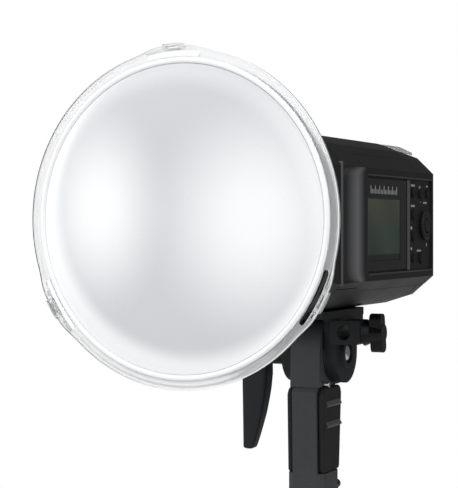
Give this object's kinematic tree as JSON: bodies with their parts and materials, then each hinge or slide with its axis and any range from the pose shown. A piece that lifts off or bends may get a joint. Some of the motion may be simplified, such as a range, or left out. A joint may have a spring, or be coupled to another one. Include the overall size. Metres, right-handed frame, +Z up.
{
  "type": "monolight strobe",
  "caption": "Battery monolight strobe with a round reflector, clip-on diffuser, side control panel, umbrella clamp and a tilting stand grip.",
  "frame": {"origin": "centre of the stand socket's mouth, at the foot of the grip", "axes": "+Z up along the grip, -Y the way the lamp fires, +X the side of the control panel"},
  "size_m": [0.2082, 0.3136, 0.3182],
  "materials": {
    "black_shell": "fine grained moulded plastic",
    "grey_shell": "fine grained glass-filled plastic",
    "dark_plastic": "satin moulded plastic",
    "panel_glass": "polished",
    "keys": "matt silicone",
    "grip_rubber": "matt moulded",
    "frosted": "frosted translucent with a clear rim",
    "reflector": "black outside, stippled silver inside",
    "steel": "turned",
    "bright_steel": "polished",
    "tube_glass": "clear quartz",
    "white_plastic": "satin",
    "lcd": "unlit display behind a clear window",
    "board": "solder mask",
    "sleeve": "shrink sleeve",
    "copper": "wound and plated"
  },
  "bodies": {
    "grip": {"handle_core": "grey_shell", "grip_panel_right": "grip_rubber", "grip_panel_left": "grip_rubber", "stand_socket_bush": "steel", "tilt_stop_pin": "bright_steel", "friction_washer_right": "steel", "friction_washer_left": "steel"},
    "head": {"front_bezel": "black_shell", "bayonet_socket": "steel", "tube_base": "white_plastic", "flash_tube": "tube_glass", "modelling_lamp": "white_plastic", "housing_upper": "black_shell", "housing_lower": "black_shell", "rear_cover": "black_shell", "slave_sensor_window": "white_plastic", "control_panel": "black_shell", "panel_glass": "panel_glass", "lcd_screen": "lcd", "battery_bay": "dark_plastic", "battery_contacts": "copper", "main_board": "board", "capacitor_a": "sleeve", "capacitor_b": "sleeve", "capacitor_c": "sleeve", "charge_transformer": "copper", "power_board": "board", "trigger_coil": "white_plastic", "buzzer": "dark_plastic", "fan_frame": "dark_plastic", "yoke": "grey_shell", "pivot_bolt": "bright_steel"},
    "lever": {"tilt_lever": "grey_shell"},
    "stand_lock": {"stand_lock_knob": "dark_plastic", "stand_lock_screw": "steel"},
    "umbrella_clamp": {"umbrella_knob": "dark_plastic", "umbrella_screw": "steel"},
    "reflector": {"reflector_shell": "reflector", "reflector_bayonet": "steel"},
    "diffuser": {"diffuser_cap": "frosted"},
    "release": {"reflector_release": "dark_plastic"},
    "battery": {"battery_pack": "grey_shell"},
    "latch": {"battery_latch": "dark_plastic"},
    "dial": {"dial_ring": "dark_plastic"},
    "set_key": {"set_button": "dark_plastic"},
    "sync_key": {"sync_button": "keys"},
    "group_key": {"group_button": "keys"},
    "lamp_key": {"lamp_button": "keys"},
    "buzzer_key": {"buzzer_button": "keys"},
    "test_key": {"test_button": "keys"},
    "mode_key": {"mode_button": "keys"},
    "power_key": {"power_button": "keys"},
    "fan": {"fan_rotor": "dark_plastic"}
  },
  "joints": [
    {"name": "head_tilt", "type": "hinge", "parent": "grip", "child": "head", "pos_m": [0, 0.0085, 0.114], "axis": [1, 0, 0], "range_deg": [-90, 75]},
    {"name": "tilt_lever_turn", "type": "hinge", "parent": "head", "child": "lever", "pos_m": [-0.03, 0.0085, 0.114], "axis": [1, 0, 0], "range_deg": [-30, 95]},
    {"name": "stand_lock_turn", "type": "hinge", "parent": "grip", "child": "stand_lock", "pos_m": [0, 0.02, 0.0125], "axis": [0, 1, 0], "range_deg": [-720, 0]},
    {"name": "umbrella_clamp_turn", "type": "hinge", "parent": "head", "child": "umbrella_clamp", "pos_m": [0.05, -0.008, 0.1305], "axis": [1, 0, 0], "range_deg": [-720, 0]},
    {"name": "reflector_pull", "type": "slide", "parent": "head", "child": "reflector", "axis": [0, -1, 0], "range_m": [0, 0.06]},
    {"name": "diffuser_pull", "type": "slide", "parent": "reflector", "child": "diffuser", "axis": [0, -1, 0], "range_m": [0, 0.04]},
    {"name": "reflector_release_press", "type": "slide", "parent": "head", "child": "release", "axis": [1, 0, 0], "range_m": [0, 0.002], "stiffness_N_per_m": 600},
    {"name": "battery_slide", "type": "slide", "parent": "head", "child": "battery", "axis": [-1, 0, 0], "range_m": [0, 0.045]},
    {"name": "battery_latch_slide", "type": "slide", "parent": "battery", "child": "latch", "axis": [0, 1, 0], "range_m": [0, 0.0028], "stiffness_N_per_m": 500},
    {"name": "dial_turn", "type": "hinge", "parent": "head", "child": "dial", "pos_m": [0.063, 0.07, 0.2076], "axis": [1, 0, 0], "continuous": true},
    {"name": "set_press", "type": "slide", "parent": "head", "child": "set_key", "axis": [-1, 0, 0], "range_m": [0, 0.0008], "stiffness_N_per_m": 800},
    {"name": "sync_press", "type": "slide", "parent": "head", "child": "sync_key", "axis": [-1, 0, 0], "range_m": [0, 0.0008], "stiffness_N_per_m": 800},
    {"name": "group_press", "type": "slide", "parent": "head", "child": "group_key", "axis": [-1, 0, 0], "range_m": [0, 0.0008], "stiffness_N_per_m": 800},
    {"name": "lamp_press", "type": "slide", "parent": "head", "child": "lamp_key", "axis": [-1, 0, 0], "range_m": [0, 0.0008], "stiffness_N_per_m": 800},
    {"name": "buzzer_press", "type": "slide", "parent": "head", "child": "buzzer_key", "axis": [-1, 0, 0], "range_m": [0, 0.0008], "stiffness_N_per_m": 800},
    {"name": "test_press", "type": "slide", "parent": "head", "child": "test_key", "axis": [-1, 0, 0], "range_m": [0, 0.0008], "stiffness_N_per_m": 800},
    {"name": "mode_press", "type": "slide", "parent": "head", "child": "mode_key", "axis": [-1, 0, 0], "range_m": [0, 0.0008], "stiffness_N_per_m": 800},
    {"name": "power_press", "type": "slide", "parent": "head", "child": "power_key", "axis": [-1, 0, 0], "range_m": [0, 0.0008], "stiffness_N_per_m": 800},
    {"name": "fan_spin", "type": "hinge", "parent": "head", "child": "fan", "pos_m": [0, 0.073, 0.211], "axis": [0, 1, 0], "continuous": true}
  ]
}
